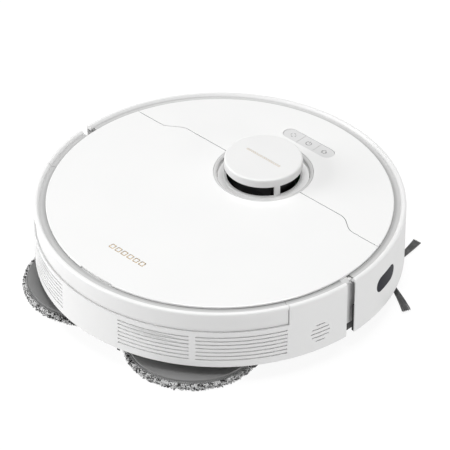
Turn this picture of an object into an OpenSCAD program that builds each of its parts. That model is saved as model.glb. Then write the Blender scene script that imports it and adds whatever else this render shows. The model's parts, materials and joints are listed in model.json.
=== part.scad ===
// Round robot vacuum and mop. Millimetres, Z up, Y to the front, origin on the floor
// under the middle of the round body.

/* [Body] */
// Diameter of the round body
body_d = 350; // [340:2:424]
// Height of the top panels above the floor
panel_z = 79.3; // [78:0.1:96]
// Height of the flat underside above the floor
floor_gap = 10; // [9.5:0.1:11]
// Height of the lower edge of the side walls
skirt_z = 19; // [18.8:0.1:20]
// Thickness of the side walls
wall = 2.5; // [2:0.1:3]
// Thickness of the bottom pan
pan_t = 3; // [2.5:0.1:3.4]
// Thickness of the top panels
panel_t = 2; // [1.8:0.05:2.1]
// Width of the groove and rim between the top panels and the side wall
rim_w = 11.6; // [11:0.1:13]
// How far the rim stands above the panels
rim_rise = 0.3; // [0:0.1:1]
// How far the ledge lies below the top of the panels
ledge_drop = 2.5; // [2.4:0.05:2.8]

/* [Rear lid] */
// Distance of the seam between cover and lid from the middle
seam_y = 59.1; // [57:0.1:60]
// How far the seam steps back near its two ends
seam_step = 11.9; // [6:0.1:12]
// Half distance between the two steps of the seam
seam_x = 112.5; // [108:0.5:116]
// Gap in the seam
seam_gap = 0.8; // [0.8:0.05:1]
// Distance of the two hinge arms from the middle
lid_arm_x = 72; // [66:1:78]
// Width of a hinge arm
lid_arm_w = 5; // [4:0.5:6]

/* [Laser turret] */
// Distance of the turret from the middle
turret_y = 59.5; // [59:0.1:60]
// Diameter of the turret cap
turret_d = 74.6; // [60:0.2:90]
// How far the turret stands above the panels
turret_rise = 16.4; // [15.5:0.1:22]
// Height of the window slots
slot_h = 10.8; // [9:0.1:11.5]
// Width of the posts between the slots
post_w = 5.5; // [4:0.5:8]
// Width of the ring around the turret
ring_w = 3.1; // [2.5:0.1:7]
// How far the turret cap can be pressed
cap_travel = 1.5; // [1:0.1:1.5]

/* [Buttons] */
// Distance between the turret's ring and the button strip
strip_gap = 8.7; // [5:0.1:11]
// Length of the button strip
strip_l = 61.4; // [56:0.2:64]
// Width of the button strip
strip_w = 14.6; // [12:0.2:16]
// Gap between two buttons, and around them
button_gap = 0.3; // [0.3:0.05:0.5]

/* [Bumper] */
// Distance of the bumper's ends behind the middle
bumper_end = 4; // [2:0.5:5]
// Gap between bumper and rear shell
bumper_gap = 10; // [8:0.5:12]
// How far the bumper can be pushed in
bumper_travel = 3.5; // [2.5:0.5:3.5]
// Direction of the side window, from the right side towards the front
window_a = 15.2; // [12:0.2:20]
// Length of the side window
window_l = 35; // [25:1:40]
// Height of the side window
window_h = 17; // [12:1:20]
// Height of the middle of the windows
window_z = 50; // [40:1:54]

/* [Vents] */
// Height of the lowest vent slot
vent_z = 27.1; // [26:0.1:28]
// Distance between vent slots
vent_pitch = 4.27; // [3.8:0.01:4.3]
// Height of one vent slot
vent_h = 1.5; // [1:0.1:2]
// Number of vent slots
vent_n = 7; // [5:1:7]
// Depth of the vent slots
vent_depth = 1.3; // [1:0.1:1.6]
// Diameter of the speaker grille
grille_d = 20.4; // [16:0.2:24]
// Distance between the slots of the speaker grille
grille_pitch = 4.5; // [3.5:0.1:4.8]

/* [Drive wheels] */
// Diameter of a drive wheel
wheel_d = 70; // [58:0.5:71]
// Width of a drive wheel
wheel_w = 22; // [18:1:22]
// Distance of the wheels' middle planes from the middle
wheel_x = 118; // [117:0.5:119]
// Distance of the arm's pivot behind the wheel's axle
pivot_back = 45; // [44:0.5:46]
// Height of the arm's pivot
pivot_z = 42; // [41:0.5:44]
// Radius of the drive motor
motor_r = 12; // [10:0.5:12.5]
// Radius of the wheel axles and pivot pins
axle_r = 3; // [2.5:0.1:4]

/* [Caster] */
// Distance of the caster's swivel from the middle
caster_y = 135; // [134:0.5:138]
// Diameter of the caster wheel
caster_d = 29; // [27:0.5:30]
// Width of the caster wheel
caster_w = 14; // [10:1:16]
// How far the caster wheel trails behind its swivel
trail = 5; // [3:0.5:5.5]

/* [Brushes] */
// Length of the main brush
roller_l = 164; // [150:1:166]
// Diameter over the blades of the main brush
roller_d = 40; // [36:0.5:41]
// Distance of the main brush from the middle
roller_y = 26; // [25.5:0.1:27]
// Sideways distance of the side brush from the middle
side_x = 122; // [121:0.5:123]
// Forward distance of the side brush from the middle
side_y = 96; // [95:0.5:97]
// Reach of the side brush
side_r = 59; // [55:1:61]

/* [Mops] */
// Sideways distance of the mop pads from the middle
mop_x = 66.9; // [66.7:0.1:68]
// Distance of the mop pads behind the middle
mop_y = 105.2; // [104:0.2:107]
// Diameter of a mop pad over its fringe
mop_d = 132; // [106:1:132]
// Thickness of a mop pad
pad_t = 7; // [5:0.5:7.5]
// How far the mops lift off the floor
mop_lift = 6; // [4:0.5:6]

/* [Rear tank] */
// Distance of the tank's seams behind the middle
tank_y = 74; // [72:1:76]
// Height of the tank's underside
tank_z = 58.8; // [58.6:0.1:59.5]
// How far the band of the tank is set in
band_in = 1.7; // [1:0.1:2]

/* [Inside] */
// Width of the dust bin
bin_w = 88; // [72:1:88]
// Thickness of inner walls
inner_t = 2; // [1.6:0.1:2.2]
// Radius of the screw heads under the body
screw_r = 3; // [2.5:0.1:3.5]

/* [Hidden] */
$fn = 96;

// Clearance of a running fit, on the radius
fit = 0.06;
// Clearance between pieces that move past each other
gap = 0.4;
// Clearance around the turret's ring
ring_gap = 0.3;

body_r = body_d / 2;
panel_r = body_r - rim_w;
rim_z = panel_z + rim_rise;
ledge_z = panel_z - ledge_drop;
panel_low = panel_z - panel_t;
deck_t = 3;
deck_z = ledge_z - 1.6 - gap;        // top of the deck, under the bumper's ledge
deck_low = deck_z - deck_t;
pan_top = floor_gap + pan_t;
frame_r = body_r - wall - bumper_travel - 1;   // outside of the inner side wall
frame_t = 2.2;
lip_z = 26;                          // top of the pan's upright edge
rear_end = bumper_end + bumper_gap;
tank_a = asin(tank_y / body_r);      // seam direction of the tank
rear_a = asin(rear_end / body_r);

// Speaker: direction, height and radius
speaker_a = -14.5;
speaker_z = 39;
speaker_r = 12.4;

// ---------- helpers ----------

// Arc of a circle as points, for rounded corners of an outline
function arc(cx, cy, r, a0, a1, n) = [for (i = [0:n]) let(a = a0 + (a1 - a0) * i / n)
    [cx + r * cos(a), cy + r * sin(a)]];

// Slab between two heights
module slab(z0, z1) translate([0, 0, z0]) linear_extrude(z1 - z0) children();

// Ring between two radii and two heights
module ring(r0, r1, z0, z1) slab(z0, z1) difference() {
    circle(r1, $fn = 360);
    circle(r0, $fn = 360);
}

// Box between two corners
module block(p, q) translate(p) cube(q - p);

// Everything within two directions, as a wedge
module wedge(a0, a1, r, z0, z1) {
    n = 6;
    slab(z0, z1) polygon(concat([[0, 0]],
        [for (i = [0:n]) let(a = a0 + (a1 - a0) * i / n) [r * cos(a), r * sin(a)]]));
}

// A shape and its mirror image on the other side
module both_sides() {
    children();
    mirror([1, 0, 0]) children();
}

// Flat pill shape, length along X
module pill(l, w) {
    square([l - w, w], center = true);
    for (s = [-1, 1]) translate([s * (l - w) / 2, 0]) circle(w / 2);
}

// Shaft or bore along X
module rod_x(x0, x1, y, z, r) translate([x0, y, z]) rotate([0, 90, 0])
    cylinder(r = r, h = x1 - x0);

// Seam between front cover and rear lid, as a height over x
seam_run = 12.5;
function seam_drop(x) =
    let(t = min(1, max(0, (abs(x) - seam_x + seam_run) / (2 * seam_run))))
    seam_step * (1 - cos(180 * t)) / 2;
module behind_seam(shift) {
    steps = 10;
    xs = [for (i = [0:steps]) seam_x - seam_run + 2 * seam_run * i / steps];
    edge = concat([[body_r, seam_y - seam_step + shift]],
        [for (i = [0:steps]) let(x = xs[steps - i]) [x, seam_y - seam_drop(x) + shift]]);
    polygon(concat([[-body_r, -body_r], [body_r, -body_r]], edge,
        [for (i = [0:len(edge) - 1]) let(p = edge[len(edge) - 1 - i]) [-p[0], p[1]]]));
}

// Turret: cap, the ring around it, and the spinning head inside
cap_r = turret_d / 2;
cap_top = panel_z + turret_rise;
slot_z = panel_z - 2.9;
flange_z = panel_z - 4.4;            // outer edge of the cap's flange
cap_low = flange_z - 1.8;
ring_bore = cap_r + 7.1;
ring_r = ring_bore + ring_w;
head_r = cap_r - 6.3;
lidar_z = deck_low - 9;              // top of the lidar base
post_at = ring_bore + 3.1;           // radius on which the base's posts stand
motor_at = [-48, turret_y + 32.5];

// Button strip
strip_y = turret_y + ring_r + strip_gap + strip_w / 2;

// Hinge pins of the rear lid
pin_y = seam_y + 10;
pin_z = panel_z - 4.2;
pin_r = 1.2;

// Port between brush housing and dust bin
intake_w = 46;
intake_z0 = 26;
intake_z1 = 42;

// Cross-section of the rim: ledge, bevel, flat top and rounded outer edge
ledge_in = panel_r - 3.4;
bevel_r0 = body_r - 5.7;
bevel_r1 = body_r - 3.4;
rim_round = 2.2;
function rim_section(bottom, inner, outer) = concat(
    [[inner, ledge_z - 1.6], [inner, ledge_z], [bevel_r0, ledge_z], [bevel_r1, rim_z]],
    arc(outer - rim_round, rim_z - rim_round, rim_round, 90, 0, 6),
    [[outer, bottom], [outer - wall, bottom], [outer - wall, ledge_z - 1.6]]);

module rim_wall(bottom) rotate_extrude($fn = 360) polygon(rim_section(bottom, ledge_in, body_r));

// ---------- fixed body: shells ----------

well_x0 = wheel_x - wheel_w / 2 - 14;
well_x1 = wheel_x + wheel_w / 2 + 4;
well_y0 = -pivot_back - 17;
well_y1 = wheel_d / 2 + 8;
mop_room = mop_d / 2 + 3;            // radius of the recess over a mop
mop_roof = skirt_z - 1;              // height of that recess
roof_top = mop_roof + 2.5;           // top of its roof
mop_wall = 2.2;                      // thickness of its side wall
caster_room = 22.3;                  // radius of the caster's socket
caster_roof = 36;                    // height of its roof
boss_x = frame_r - 20;
boss_at = [[boss_x, -22], [-boss_x, -22], [88, 122], [-88, 122]];
chamber_x = roller_l / 2 + 4;        // outside of the brush housing
chamber_y0 = roller_y - roller_d / 2 - 4;
chamber_y1 = roller_y + roller_d / 2 + 4;
roller_z = roller_d / 2 + 1.5;       // the blades stay clear of the floor
chamber_top = roller_z + roller_d / 2 + 6;
screw_at = [[80, -16], [-80, -16], [30, 56], [-30, 56],
    [boss_x + 2, -50], [-boss_x - 2, -50], [100, 115], [-100, 115]];
battery_x = 76;
battery_y0 = 62;
battery_y1 = 103;
contact_size = [26, 9];
contact_at = [[42, 138], [-42, 138]];
cliff_x = frame_r - 25;
cliff_at = [[74, 131], [-74, 131], [cliff_x, 52], [-cliff_x, 52]];
cliff_l = 18;
cliff_w = 8;

module mop_circles(r) both_sides() translate([mop_x, -mop_y]) circle(r, $fn = 180);

module base_pan() color("#2b2c2e") difference() {
    union() {
        rotate_extrude($fn = 360) polygon([
            [0, floor_gap], [frame_r - 10, floor_gap], [frame_r, mop_roof], [frame_r, lip_z],
            [frame_r - frame_t, lip_z], [frame_r - frame_t, mop_roof + 1],
            [frame_r - 11, pan_top], [0, pan_top]]);
        intersection() {
            slab(floor_gap, roof_top) mop_circles(mop_room + mop_wall);
            cylinder(r = frame_r - 0.2, h = lip_z, $fn = 360);
        }
        for (p = boss_at) translate([p[0], p[1], pan_top]) cylinder(r = 4, h = deck_low - pan_top);
        for (p = screw_at) translate([p[0], p[1], pan_top]) cylinder(r = 3.4, h = 10);
        translate([0, caster_y, floor_gap]) cylinder(r = caster_room + 2.7, h = caster_roof + 1);
    }
    slab(0, mop_roof) mop_circles(mop_room);
    both_sides() translate([mop_x, -mop_y, 0]) cylinder(r = 8.5, h = lip_z);
    both_sides() block([well_x0 + inner_t, well_y0 + inner_t, 0],
        [well_x1 - inner_t, well_y1 - inner_t, roof_top + 1]);
    block([-chamber_x + 3, chamber_y0 + inner_t, 0], [chamber_x - 3, chamber_y1 - inner_t, pan_top + 1]);
    block([-battery_x, battery_y0 - 2, 0], [battery_x, battery_y1 + 2, pan_top + 1]);
    translate([0, caster_y, 0]) cylinder(r = caster_room, h = caster_roof);
    translate([0, caster_y, 0]) cylinder(r = 4 + fit, h = caster_roof + 8.5);
    translate([side_x, side_y, 0]) cylinder(r = 10, h = roof_top);
    for (p = screw_at) translate([p[0], p[1], 0]) {
        cylinder(r = screw_r, h = floor_gap + 2);
        cylinder(r = 1.4, h = floor_gap + 11);
    }
    for (p = contact_at) slab(0, floor_gap + 1) translate(p) square(contact_size, center = true);
    for (p = cliff_at) slab(0, floor_gap + 1.5) translate(p) pill(cliff_l, cliff_w);
}

// Upright that closes the gap between bumper and rear shell, up to the panels
filler_x = panel_r - 3.5;
module gap_filler() both_sides() intersection() {
    rotate_extrude($fn = 360) polygon([
        [0, deck_low - 1], [frame_r, deck_low - 1], [frame_r, panel_low - 4],
        [panel_r + 1.2, panel_low - gap], [0, panel_low - gap]]);
    block([filler_x, -rear_end, 0], [body_r, -bumper_end, rim_z]);
    shell_sector(0, rear_a - 0.2, 0, rim_z);
}

module side_frame() color("#b9b9b9") {
    difference() {
        ring(frame_r - frame_t, frame_r, lip_z, deck_low);
        block([-body_r, -body_r, tank_z - 2.5], [body_r, -tank_y + 4, rim_z]);
        speaker_bore(frame_r + 1, frame_r - frame_t - 1, speaker_r + 0.3);
    }
    gap_filler();
}

// Round bore through the walls in the speaker's direction
module speaker_bore(r1, r0, r) rotate([0, 0, speaker_a]) rod_x(r0, r1, 0, speaker_z, r);

module shell_sector(a0, a1, z0, z1) {
    wedge(-a1, -a0, body_r + 20, z0, z1);
    wedge(180 + a0, 180 + a1, body_r + 20, z0, z1);
}

// Directions between which the two groups of vents run, behind the side
vent_sectors = [[25.6, 53.3], [55.3, 78.1]];

module rear_shell() color("#f4f4f3") difference() {
    union() {
        intersection() {
            rim_wall(skirt_z);
            shell_sector(rear_a, tank_a, 0, rim_z + 1);
        }
        intersection() {
            ring(body_r - wall, body_r, skirt_z, tank_z - gap);
            shell_sector(rear_a, 90, 0, rim_z + 1);
        }
        intersection() {
            ring(frame_r + 0.2, body_r - wall / 2, skirt_z, skirt_z + 2);
            shell_sector(rear_a, 90, 0, rim_z + 1);
        }
    }
    intersection() {
        for (i = [0:vent_n - 1]) let(z = vent_z + i * vent_pitch)
            ring(body_r - vent_depth, body_r + 1, z - vent_h / 2, z + vent_h / 2);
        union() {
            for (a = vent_sectors) shell_sector(a[0], a[1], 0, rim_z);
        }
    }
    for (i = [-2:2]) let(l = 2 * sqrt(pow(grille_d / 2, 2) - pow(i * grille_pitch, 2)))
        rotate([0, 0, speaker_a]) translate([body_r - wall - 2, -l / 2, speaker_z + i * grille_pitch - 0.5])
            cube([wall + 4, l, 1]);
}

bin_x0 = -66;
bin_x1 = bin_x0 + bin_w;
bin_y0 = -tank_y + 2;
bin_y1 = chamber_y0 - 4;
lid_arm_room = 14.5;                 // radius that the hinge arms need
lug_t = 3;                           // thickness of the lugs beside them
pin_half = lid_arm_w / 2 + gap + lug_t;
deck_post_x = frame_r - 28;
deck_post_r = frame_r - 18;

module top_deck() color("#e9e9e8") difference() {
    union() {
        slab(deck_low, deck_z) circle(frame_r - 0.8, $fn = 360);
        both_sides() for (s = [-1, 1]) let(x = lid_arm_x + s * (lid_arm_w / 2 + gap + lug_t / 2))
            block([x - lug_t / 2, pin_y - 4, deck_low], [x + lug_t / 2, pin_y + 5, panel_low - gap]);
        both_sides() for (y = [-40, 30]) translate([deck_post_x, y, deck_low])
            cylinder(r = 4, h = panel_low - gap - deck_low);
        for (a = [40, 65, 115, 140]) rotate([0, 0, a]) translate([deck_post_r, 0, deck_low])
            cylinder(r = 3, h = panel_low - deck_low);
    }
    slab(deck_low - 1, rim_z) translate([0, turret_y]) circle(ring_bore - 0.4);
    both_sides() block([filler_x - gap, -rear_end, 0], [body_r, gap - bumper_end, rim_z]);
    slab(deck_low - 1, rim_z) translate([0, strip_y]) square([strip_l + 4, strip_w + 6], center = true);
    block([bin_x0 - gap, bin_y0 - gap, 0], [bin_x1 + gap, bin_y1 + gap, rim_z]);
    block([-body_r, -body_r, 0], [body_r, -tank_y + gap, rim_z]);
    both_sides() block([lid_arm_x - lid_arm_w / 2 - gap, pin_y - lid_arm_room, 0],
        [lid_arm_x + lid_arm_w / 2 + gap, pin_y + 8, rim_z]);
    both_sides() rod_x(lid_arm_x - 12, lid_arm_x + 12, pin_y, pin_z, pin_r);
}

// Steel pins that carry the hinge arms of the lid
module lid_pins() color("silver") both_sides()
    rod_x(lid_arm_x - pin_half, lid_arm_x + pin_half, pin_y, pin_z, pin_r);

// The panels: round plate with a softened top edge
module panel_disc() rotate_extrude($fn = 360) polygon(concat(
    [[0, panel_low], [panel_r, panel_low]],
    arc(panel_r - 1, panel_z - 1, 1, 0, 90, 5), [[0, panel_z]]));

module front_cover() color("#f8f8f7") difference() {
    union() {
        difference() {
            panel_disc();
            slab(0, rim_z + 9) behind_seam(seam_gap / 2);
        }
        intersection() {
            ring(panel_r - 20, panel_r - 18, deck_z, panel_low);
            block([-body_r, seam_y + 14, 0], [body_r, body_r, rim_z]);
        }
    }
    slab(0, rim_z + 9) translate([0, turret_y]) circle(ring_r + ring_gap);
    slab(0, rim_z + 9) translate([0, strip_y]) pill(strip_l + 2 * button_gap, strip_w + 2 * button_gap);
}

// ---------- rear lid ----------

// Length and depth of the finger notch in the lid's rear edge
notch_l = 40;
notch_t = 1.1;
module rear_lid() color("#f8f8f7") difference() {
    intersection() {
        panel_disc();
        slab(0, rim_z + 9) behind_seam(-seam_gap / 2);
    }
    slab(0, rim_z + 9) translate([0, turret_y]) circle(ring_r + ring_gap);
    intersection() {
        ring(panel_r - notch_t, body_r, 0, rim_z);
        block([-notch_l / 2, -body_r, 0], [notch_l / 2, 0, rim_z]);
    }
}

// Gooseneck arm: from the pin down, around the edge of the cover, and up to the lid
lid_arm_reach = 10.6;
lid_arm_t = 3.2;
module lid_arm_outline() difference() {
    up = panel_low - pin_z;
    union() {
        difference() {
            circle(lid_arm_reach + lid_arm_t);
            circle(lid_arm_reach);
            translate([-30, -30]) square([30 - lid_arm_t / 2, 60]);
            translate([-30, up]) square([60, 30]);
        }
        circle(pin_r + 0.6);
        translate([-lid_arm_t / 2, -lid_arm_reach - lid_arm_t / 2]) square([lid_arm_t, lid_arm_reach]);
        translate([lid_arm_reach + 0.2, up - 2.1]) square([8, 2.1]);
    }
    circle(pin_r + fit);
}
module lid_arms() color("#d8d8d8") both_sides() translate([lid_arm_x + lid_arm_w / 2, pin_y, pin_z])
    rotate([90, 0, -90]) linear_extrude(lid_arm_w) lid_arm_outline();

// ---------- laser turret ----------

module at_turret() translate([0, turret_y, 0]) children();

module turret_ring() color("#f1f1f0") at_turret() rotate_extrude() polygon(concat(
    [[ring_bore, deck_z], [ring_bore + 2, deck_z], [ring_bore + 2, panel_low], [ring_r, panel_low],
     [ring_r, panel_z - 0.1], [ring_r - 1, panel_z]],
    [for (i = [0:6]) [ring_r - 1 - (ring_w - 1) * i / 6, panel_z - 1.1 * (1 - cos(90 * i / 6))]]));

module turret_cap() color("#f3f3f2") at_turret() difference() {
    rotate_extrude() polygon(concat(
        [[0, cap_top - 2], [cap_r - 2.2, cap_top - 2], [cap_r - 2.2, cap_low], [ring_bore - 0.8, cap_low]],
        [[ring_bore - 0.8, flange_z - 0.3], [ring_bore - 1.3, flange_z]],
        [for (i = [0:5]) let(a = 18 * i)
            [cap_r + 1.6 * (1 - sin(a)) + 0.1, flange_z + 0.5 + 1.6 * (1 - cos(a))]],
        arc(cap_r - 1.8, cap_top - 1.8, 1.8, 0, 90, 5), [[0, cap_top]]));
    difference() {
        ring(cap_r - 4, cap_r + 9, slot_z, slot_z + slot_h);
        for (a = [-26:120:214]) rotate([0, 0, a])
            block([0, -post_w / 2, 0], [body_r, post_w / 2, cap_top]);
    }
}

pulley_r = 20;
small_pulley_r = 4;
belt_z = lidar_z + 1.6;
belt_h = 2.4;
motor_far = norm([motor_at[0], motor_at[1] - turret_y]);    // from the turret's axis to the motor's
motor_a = atan2(motor_at[1] - turret_y, motor_at[0]);
shaft_r = 1.5;
spindle_r = 5;

// Flat bracket with four arms, that carries the rotor's spindle and the small drive motor
module lidar_bracket(l, w) translate([0, -w / 2, lidar_z - 2.5]) cube([l, w, 2.5]);
module lidar_base() color("#3a3b3d") at_turret() difference() {
    union() {
        translate([0, 0, lidar_z - 2.5]) cylinder(r = pulley_r + 6, h = 2.5);
        translate([0, 0, lidar_z]) cylinder(r = spindle_r, h = 8);
        for (a = [20:90:290]) rotate([0, 0, a]) {
            lidar_bracket(post_at, 9);
            translate([post_at, 0, lidar_z - 2.5]) cylinder(r = 4.5, h = 2.5);
            translate([post_at, 0, lidar_z - 1]) cylinder(r = 2.2, h = deck_low - lidar_z + 1);
        }
        rotate([0, 0, motor_a]) {
            lidar_bracket(motor_far, 20);
            translate([motor_far, 0, lidar_z - 2.5]) cylinder(r = 13, h = 2.5);
            translate([motor_far, 0, lidar_z - 10]) cylinder(r = 10, h = 8);
        }
    }
    rotate([0, 0, motor_a]) translate([motor_far, 0, lidar_z - 6]) cylinder(r = shaft_r + fit, h = 10);
}

// Outline of the belt's path at some distance outside the pulleys
module belt_loop(extra) {
    lean = asin((pulley_r - small_pulley_r) / motor_far);
    rotate(motor_a) polygon(concat(
        arc(0, 0, pulley_r + extra, 90 - lean, 270 + lean, 24),
        arc(motor_far, 0, small_pulley_r + extra, -90 + lean, 90 - lean, 12)));
}

// Drive belt of the laser turret, around both pulleys
module lidar_belt() color("#1b1b1b") at_turret() slab(belt_z, belt_z + belt_h) difference() {
    belt_loop(1.3);
    belt_loop(0.3);
}

head_front = 0.55 * head_r;          // flat front of the head
lens_at = [[-0.42 * head_r, 0.18 * head_r], [0.39 * head_r, 0.13 * head_r]];    // place and radius
lens_z = slot_z + slot_h / 2;

// Spinning laser head, with its belt pulley underneath
module lidar_head() color("#2a2a2c") at_turret() difference() {
    union() {
        translate([0, 0, lidar_z + 1]) cylinder(r = pulley_r, h = belt_h + 1.2);
        translate([0, 0, lidar_z + 1]) cylinder(r = pulley_r + 1.6, h = 0.4);
        translate([0, 0, belt_z + belt_h + 0.6]) cylinder(r = head_r, h = 3);
        intersection() {
            translate([0, 0, belt_z + belt_h + 3])
                cylinder(r = head_r, h = slot_z + slot_h + 2 - belt_z - belt_h - 3);
            block([-head_r, -head_front, 0], [head_r, 13, cap_top]);
        }
    }
    translate([0, 0, lidar_z - 1]) cylinder(r = spindle_r + fit, h = 10);
    for (p = lens_at) translate([p[0], -head_front - 3, lens_z]) rotate([-90, 0, 0])
        cylinder(r = p[1], h = 5);
}

module lidar_lenses() color("#30344a") at_turret() for (p = lens_at)
    translate([p[0], -head_front - 0.6, lens_z]) rotate([-90, 0, 0]) cylinder(r = p[1], h = 2.6);

module lidar_pulley() color("#c9c9c9") translate([motor_at[0], motor_at[1], 0]) {
    translate([0, 0, lidar_z - 5.5]) cylinder(r = shaft_r, h = 7);
    translate([0, 0, lidar_z + 1]) cylinder(r = small_pulley_r, h = belt_h + 1.2);
    translate([0, 0, lidar_z + 1]) cylinder(r = small_pulley_r + 1.6, h = 0.4);
}

// ---------- buttons ----------

button_low = panel_low - 0.4;
button_dish = 0.35;                  // how far the buttons lie below the panel
button_travel = 0.6;
plunger_l = 1.5;
switch_top = button_low - plunger_l - button_travel - 0.2;
button_cut = strip_l / 3;

module button(i) color("#ececeb") {
    left = i == -1 ? -strip_l / 2 : (i - 0.5) * button_cut + button_gap / 2;
    right = i == 1 ? strip_l / 2 : (i + 0.5) * button_cut - button_gap / 2;
    slab(button_low, panel_z - button_dish) intersection() {
        translate([0, strip_y]) pill(strip_l, strip_w);
        translate([left, strip_y - strip_w / 2]) square([right - left, strip_w]);
    }
    translate([i * button_cut, strip_y, button_low - plunger_l]) cylinder(r = 2, h = 2);
}
module button_spot() button(-1);
module button_power() button(0);
module button_dock() button(1);

// Small circuit board under the buttons, with one switch for each
module button_board() color("#23603f") {
    translate([0, strip_y]) block([-strip_l / 2 - 7, -strip_w / 2 - 7, deck_low - 1.6],
        [strip_l / 2 + 7, strip_w / 2 + 7, deck_low]);
    for (i = [-1:1]) translate([i * button_cut - 3, strip_y - 3, deck_low])
        cube([6, 6, switch_top - deck_low]);
}

// ---------- bumper ----------

module front_half() intersection() {
    children();
    block([-body_r - 5, -bumper_end, 0], [body_r + 5, body_r + 5, rim_z + 20]);
}

// Outline of a window, pressed through the wall from outside
module window_cut(a, l, h, r0, r1) rotate([0, 0, a]) translate([r0, 0, window_z]) rotate([90, 0, 90])
    linear_extrude(r1 - r0) pill(l, h);

front_window_l = 44;
front_window_h = 14;
module bumper_cuts(r0, r1) {
    window_cut(window_a, window_l, window_h, r0, r1);
    window_cut(90, front_window_l, front_window_h, r0, r1);
}

// At its two ends the bumper is a thin skin, and its ledge ends earlier
end_skin = 0.9;
seal_w = 2.5;
module bumper() color("#f4f4f3") difference() {
    front_half() rim_wall(skirt_z);
    bumper_cuts(body_r - 12, body_r + 2);
    intersection() {
        ring(panel_r - 10, body_r - end_skin, 0, ledge_z - 1);
        block([-body_r, -bumper_end - 1, 0], [body_r, seal_w - bumper_end, rim_z]);
    }
    intersection() {
        ring(panel_r - 10, bevel_r0, 0, rim_z);
        block([-body_r, -bumper_end - 1, 0], [body_r, bumper_travel + gap - bumper_end, rim_z]);
    }
}

module bumper_windows() color("#1a1a20") intersection() {
    ring(body_r - wall - 0.5, body_r - 0.1, skirt_z, ledge_z);
    bumper_cuts(body_r - 12, body_r + 2);
}

// Soft strips at the ends of the bumper
seal_top = 49;
module bumper_seals() color("#121212") both_sides() intersection() {
    ring(body_r - end_skin - 2.2, body_r - end_skin, skirt_z + 0.5, seal_top);
    block([0, -bumper_end, 0], [body_r, seal_w - bumper_end, rim_z]);
}

// ---------- drive wheels ----------

arm_x0 = well_x0 + inner_t + gap;
arm_x1 = wheel_x - wheel_w / 2 - 3;
axle_z = wheel_d / 2;
motor_l = 26;                        // how far the drive motor reaches inwards

// Boxes that the wheels and their arms move in
module wheel_wells() color("#3a3b3d") both_sides() difference() {
    block([well_x0, well_y0, pan_top], [well_x1, well_y1, deck_low]);
    block([well_x0 + inner_t, well_y0 + inner_t, 0], [well_x1 - inner_t, well_y1 - inner_t, rim_z]);
    slab(0, roof_top) translate([mop_x, -mop_y]) circle(mop_room + mop_wall, $fn = 180);
    rod_x(well_x0 - 1, well_x0 + inner_t + 1, -pivot_back, pivot_z, motor_r + fit);
    rod_x(well_x1 - inner_t - 1, well_x1 + 1, -pivot_back, pivot_z, axle_r + fit);
}

module drive_arm() color("#4a4b4d") {
    rod_x(arm_x0, arm_x1, -pivot_back, pivot_z, motor_r + 1);
    rod_x(arm_x0, arm_x1, 0, axle_z, 14);
    translate([arm_x0, -pivot_back, pivot_z]) rotate([atan2(axle_z - pivot_z, pivot_back), 0, 0])
        translate([0, 0, -11]) cube([arm_x1 - arm_x0, pivot_back, 22]);
    rod_x(arm_x0 - motor_l, arm_x0, -pivot_back, pivot_z, motor_r);
    rod_x(arm_x1, well_x1 - 0.3, -pivot_back, pivot_z, axle_r);
    rod_x(arm_x1, wheel_x + wheel_w / 2 - 5, 0, axle_z, axle_r);
}
module drive_arm_right() drive_arm();
module drive_arm_left() mirror([1, 0, 0]) drive_arm();

tyre_t = 6;
hub_r = wheel_d / 2 - tyre_t;
hole_r = (hub_r - axle_r - 14) / 2;  // six round holes between the hub's boss and its edge
hub_x0 = wheel_x - wheel_w / 2;
hub_x1 = wheel_x + wheel_w / 2;
module wheel_hub() color("#5a5b5d") difference() {
    rod_x(hub_x0, hub_x1, 0, axle_z, hub_r);
    rod_x(hub_x0 - 1, hub_x1 - 4.5, 0, axle_z, axle_r + fit);
    for (a = [0:60:300]) translate([0, 0, axle_z]) rotate([a, 0, 0])
        rod_x(hub_x1 - 8, hub_x1 + 1, axle_r + 8 + hole_r, 0, hole_r);
    difference() {
        rod_x(hub_x0 - 1, hub_x0 + 3, 0, axle_z, hub_r - 3);
        rod_x(hub_x0 - 2, hub_x0 + 4, 0, axle_z, axle_r + 4);
    }
}
module wheel_hub_right() wheel_hub();
module wheel_hub_left() mirror([1, 0, 0]) wheel_hub();

// Rubber tyre with cross treads
module tyre() color("#2b2b2b") translate([wheel_x, 0, axle_z]) difference() {
    rotate([0, 90, 0]) rotate_extrude($fn = 180) polygon(concat(
        [[hub_r, -wheel_w / 2]],
        arc(wheel_d / 2 - 2, -wheel_w / 2 + 2, 2, -90, 0, 4),
        arc(wheel_d / 2 - 2, wheel_w / 2 - 2, 2, 0, 90, 4),
        [[hub_r, wheel_w / 2]]));
    for (a = [7.5:15:359]) rotate([a, 0, 0]) translate([-wheel_w / 2 - 1, -1.1, wheel_d / 2 - 1.8])
        cube([wheel_w + 2, 2.2, 4]);
}
module tyre_right() tyre();
module tyre_left() mirror([1, 0, 0]) tyre();

// ---------- caster ----------

caster_wheel_y = caster_y - trail;
module caster_fork() color("#4a4b4d") difference() {
    union() {
        translate([0, caster_y, floor_gap + 0.5])
            cylinder(r = caster_room - 0.6, h = caster_roof - gap - floor_gap - 0.5);
        translate([0, caster_y, caster_roof - 6]) cylinder(r = 4, h = 14);
    }
    block([-caster_w / 2 - 0.8, caster_wheel_y - caster_d / 2 - 1.2, 0],
        [caster_w / 2 + 0.8, caster_wheel_y + caster_d / 2 + 1.2, caster_d + 1.5]);
    rod_x(-caster_w / 2 - 6, caster_w / 2 + 6, caster_wheel_y, caster_d / 2, 2 + fit);
}

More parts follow.
